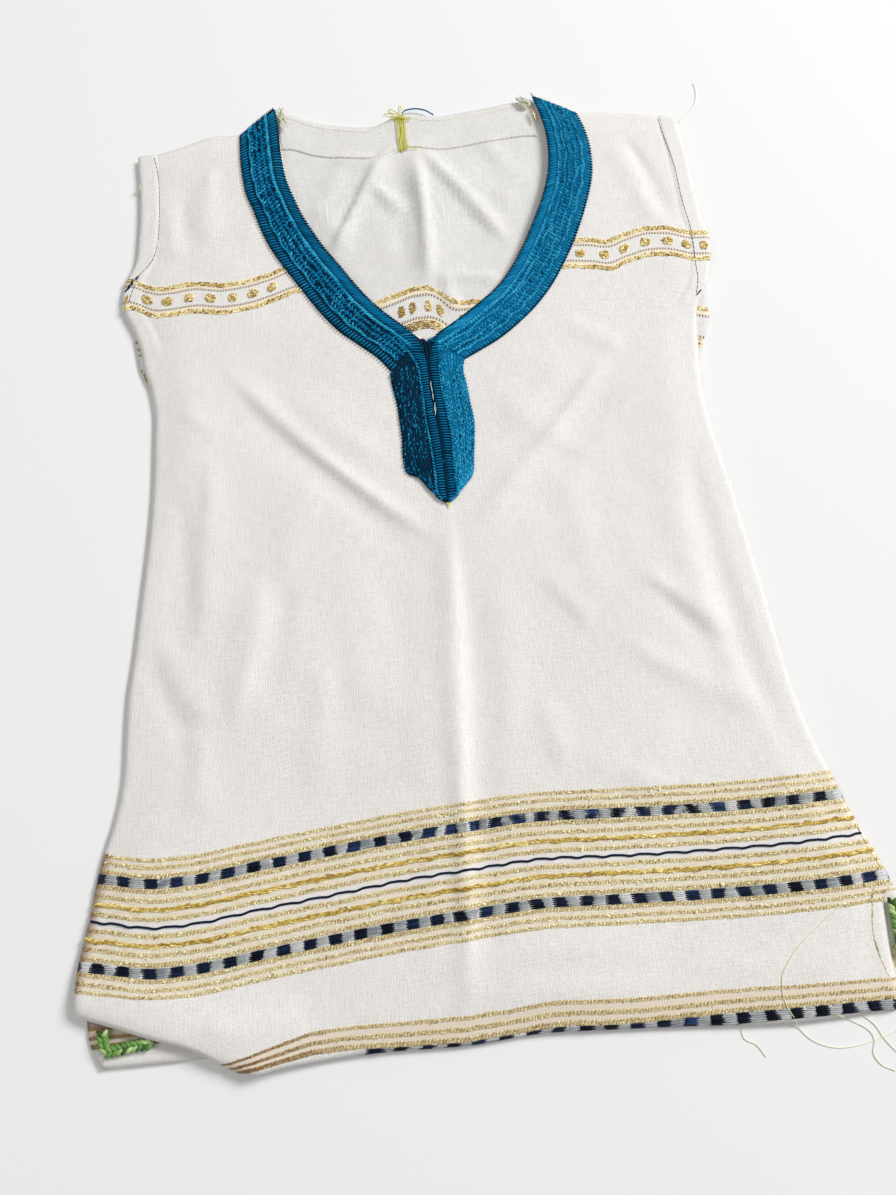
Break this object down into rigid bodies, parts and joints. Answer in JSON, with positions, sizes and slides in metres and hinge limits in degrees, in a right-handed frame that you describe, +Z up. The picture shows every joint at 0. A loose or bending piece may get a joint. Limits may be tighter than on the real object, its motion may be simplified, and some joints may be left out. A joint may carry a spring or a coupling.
{
  "type": "jebba",
  "caption": "Baby's sleeveless off-white tunic laid flat: teal embroidered V neck with a pointed placket, gold-dotted chest band, woven striped hem and short side slits.",
  "frame": {"origin": "centre of the bounding box in plan, on the surface the back panel rests on", "axes": "+Y from hem to neck, +X to the wearer's left (right-hand side as seen from above), +Z up off the surface"},
  "size_m": [0.3236, 0.4398, 0.0068],
  "materials": {
    "cloth": "matte off-white crepe with woven gold and navy bands",
    "teal_embroidery": "satin thread in rows",
    "dark_teal_embroidery": "satin thread in rows",
    "green_cord": "twisted satin cord"
  },
  "bodies": {
    "root": {"front": "cloth", "back": "cloth", "back_neck_facing": "cloth", "neck_embroidery_left": "teal_embroidery", "neck_embroidery_right": "teal_embroidery", "placket_embroidery_left": "dark_teal_embroidery", "placket_embroidery_right": "dark_teal_embroidery", "slit_braid_left": "dark_teal_embroidery", "slit_braid_right": "dark_teal_embroidery", "slit_cord_left": "green_cord", "slit_cord_right": "green_cord"}
  },
  "joints": []
}
